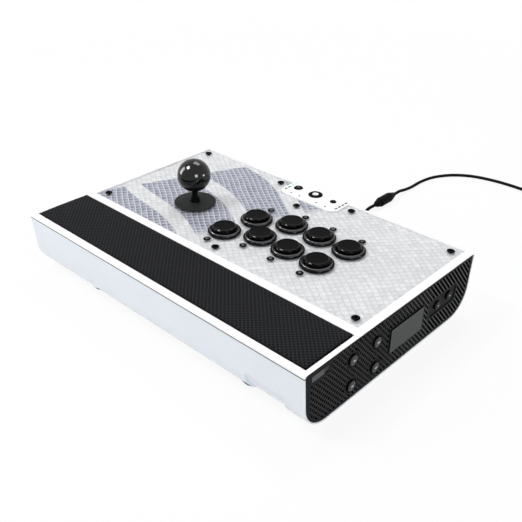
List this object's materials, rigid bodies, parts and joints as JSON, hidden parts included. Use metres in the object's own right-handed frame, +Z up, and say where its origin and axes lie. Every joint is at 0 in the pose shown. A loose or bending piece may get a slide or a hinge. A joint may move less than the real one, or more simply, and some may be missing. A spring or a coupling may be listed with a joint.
{
  "type": "arcade fight stick",
  "caption": "Desktop arcade controller with a ball-top lever, round action buttons, a padded wrist rest, a clear-covered faceplate and a long cord.",
  "frame": {"origin": "on the table under the middle of the case, without the cord", "axes": "+X to the player's right, +Y away from the player, +Z up"},
  "size_m": [0.375, 0.6439, 0.1145],
  "materials": {
    "white_cover": "white, soft gloss",
    "pale_shell": "pale grey-white, soft gloss",
    "dark_panel": "near-black with a slanting pattern",
    "pad": "charcoal, fine dimples",
    "clear_acrylic": "clear, polished",
    "print": "pale grey and blue-grey print",
    "steel": "plain steel",
    "bright_steel": "bright steel",
    "black_screw": "black",
    "black_gloss": "black, polished",
    "black_matte": "black, matte",
    "washer_black": "dark grey, smooth",
    "inner_plastic": "moulded, matte",
    "bush_plastic": "low-friction plastic",
    "board": "green circuit board",
    "display": "grey, glossy",
    "key_grey": "mid grey, soft gloss",
    "light": "dark, one lit green",
    "rubber": "black, matte",
    "cord_black": "black, matte"
  },
  "bodies": {
    "case": {"top_cover": "white_cover", "lower_shell": "pale_shell", "left_side_panel": "dark_panel", "right_side_panel": "dark_panel", "wrist_pad": "pad", "acrylic_cover": "clear_acrylic", "printed_sheet": "print", "control_plate": "steel", "faceplate_screws": "black_screw", "icon_discs": "black_matte", "function_board": "board", "status_lights": "light", "button_bodies": "black_gloss", "button_nuts": "inner_plastic", "button_switches": "inner_plastic", "stick_bracket": "steel", "stick_housing": "inner_plastic", "restrictor_gate": "bush_plastic", "lever_switches": "inner_plastic", "stick_nuts": "bright_steel", "display_window": "display", "display_module": "inner_plastic", "side_board": "board", "main_board": "board", "rubber_feet": "rubber", "case_screws": "black_screw", "cord_gland": "cord_black", "cord": "cord_black", "cord_barrel": "cord_black", "cord_coil": "cord_black", "cord_tie": "cord_black", "plug": "black_matte"},
    "pivot_cross": {"pivot_bush": "bush_plastic"},
    "lever": {"lever_sleeve": "black_matte", "actuator": "inner_plastic", "lever_spring": "bright_steel"},
    "lever_top": {"lever_shaft": "bright_steel", "ball_top": "black_gloss", "shaft_clip": "black_screw"},
    "washer_carrier": {"lower_washer": "washer_black"},
    "washer_cover": {"dust_washer": "washer_black"},
    "plunger_1": {"plunger_1": "black_gloss"},
    "plunger_2": {"plunger_2": "black_gloss"},
    "plunger_3": {"plunger_3": "black_gloss"},
    "plunger_4": {"plunger_4": "black_gloss"},
    "plunger_5": {"plunger_5": "black_gloss"},
    "plunger_6": {"plunger_6": "black_gloss"},
    "plunger_7": {"plunger_7": "black_gloss"},
    "plunger_8": {"plunger_8": "black_gloss"},
    "function_button_left": {"function_button_left": "black_gloss"},
    "function_button_centre": {"function_button_centre": "black_gloss"},
    "function_button_right": {"function_button_right": "black_gloss"},
    "side_button_1": {"side_button_1": "key_grey"},
    "side_button_2": {"side_button_2": "key_grey"},
    "side_button_3": {"side_button_3": "key_grey"},
    "side_button_4": {"side_button_4": "key_grey"},
    "pocket_button_1": {"pocket_button_1": "black_matte"},
    "pocket_button_2": {"pocket_button_2": "black_matte"},
    "mode_slider": {"mode_slider": "key_grey"}
  },
  "joints": [
    {"name": "lever_tilt_x", "type": "hinge", "parent": "case", "child": "pivot_cross", "pos_m": [-0.083, 0.0114, 0.048], "axis": [1, 0, 0], "range_deg": [-8.5, 8.5], "stiffness_Nm_per_rad": 0.6},
    {"name": "lever_tilt_y", "type": "hinge", "parent": "pivot_cross", "child": "lever", "pos_m": [-0.083, 0.0114, 0.048], "axis": [0, 1, 0], "range_deg": [-8.5, 8.5], "stiffness_Nm_per_rad": 0.6},
    {"name": "ball_spin", "type": "hinge", "parent": "lever", "child": "lever_top", "pos_m": [-0.083, 0.0114, 0.048], "axis": [0, 0, 1], "continuous": true},
    {"name": "washer_slide_x", "type": "slide", "parent": "case", "child": "washer_carrier", "axis": [1, 0, 0], "range_m": [-0.0029, 0.0029]},
    {"name": "washer_slide_y", "type": "slide", "parent": "washer_carrier", "child": "washer_cover", "axis": [0, 1, 0], "range_m": [-0.0029, 0.0029]},
    {"name": "press_button_1", "type": "slide", "parent": "case", "child": "plunger_1", "axis": [0, 0, -1], "range_m": [0, 0.0028], "stiffness_N_per_m": 150, "springref_m": -0.003},
    {"name": "press_button_2", "type": "slide", "parent": "case", "child": "plunger_2", "axis": [0, 0, -1], "range_m": [0, 0.0028], "stiffness_N_per_m": 150, "springref_m": -0.003},
    {"name": "press_button_3", "type": "slide", "parent": "case", "child": "plunger_3", "axis": [0, 0, -1], "range_m": [0, 0.0028], "stiffness_N_per_m": 150, "springref_m": -0.003},
    {"name": "press_button_4", "type": "slide", "parent": "case", "child": "plunger_4", "axis": [0, 0, -1], "range_m": [0, 0.0028], "stiffness_N_per_m": 150, "springref_m": -0.003},
    {"name": "press_button_5", "type": "slide", "parent": "case", "child": "plunger_5", "axis": [0, 0, -1], "range_m": [0, 0.0028], "stiffness_N_per_m": 150, "springref_m": -0.003},
    {"name": "press_button_6", "type": "slide", "parent": "case", "child": "plunger_6", "axis": [0, 0, -1], "range_m": [0, 0.0028], "stiffness_N_per_m": 150, "springref_m": -0.003},
    {"name": "press_button_7", "type": "slide", "parent": "case", "child": "plunger_7", "axis": [0, 0, -1], "range_m": [0, 0.0028], "stiffness_N_per_m": 150, "springref_m": -0.003},
    {"name": "press_button_8", "type": "slide", "parent": "case", "child": "plunger_8", "axis": [0, 0, -1], "range_m": [0, 0.0028], "stiffness_N_per_m": 150, "springref_m": -0.003},
    {"name": "press_function_left", "type": "slide", "parent": "case", "child": "function_button_left", "axis": [0, 0, -1], "range_m": [0, 0.0007], "stiffness_N_per_m": 400, "springref_m": -0.001},
    {"name": "press_function_centre", "type": "slide", "parent": "case", "child": "function_button_centre", "axis": [0, 0, -1], "range_m": [0, 0.0007], "stiffness_N_per_m": 400, "springref_m": -0.001},
    {"name": "press_function_right", "type": "slide", "parent": "case", "child": "function_button_right", "axis": [0, 0, -1], "range_m": [0, 0.0007], "stiffness_N_per_m": 400, "springref_m": -0.001},
    {"name": "press_side_1", "type": "slide", "parent": "case", "child": "side_button_1", "axis": [-1, 0, 0], "range_m": [0, 0.0007], "stiffness_N_per_m": 400, "springref_m": -0.001},
    {"name": "press_side_2", "type": "slide", "parent": "case", "child": "side_button_2", "axis": [-1, 0, 0], "range_m": [0, 0.0007], "stiffness_N_per_m": 400, "springref_m": -0.001},
    {"name": "press_side_3", "type": "slide", "parent": "case", "child": "side_button_3", "axis": [-1, 0, 0], "range_m": [0, 0.0007], "stiffness_N_per_m": 400, "springref_m": -0.001},
    {"name": "press_side_4", "type": "slide", "parent": "case", "child": "side_button_4", "axis": [-1, 0, 0], "range_m": [0, 0.0007], "stiffness_N_per_m": 400, "springref_m": -0.001},
    {"name": "press_pocket_1", "type": "slide", "parent": "case", "child": "pocket_button_1", "axis": [-1, 0, 0], "range_m": [0, 0.0007], "stiffness_N_per_m": 400, "springref_m": -0.001},
    {"name": "press_pocket_2", "type": "slide", "parent": "case", "child": "pocket_button_2", "axis": [-1, 0, 0], "range_m": [0, 0.0007], "stiffness_N_per_m": 400, "springref_m": -0.001},
    {"name": "slide_mode", "type": "slide", "parent": "case", "child": "mode_slider", "axis": [0, 1, 0], "range_m": [0, 0.0064]}
  ],
  "couplings": [
    {"joint": "washer_slide_x", "follows": "lever_tilt_y", "m_per_rad": 0.0184},
    {"joint": "washer_slide_y", "follows": "lever_tilt_x", "m_per_rad": -0.0184}
  ]
}
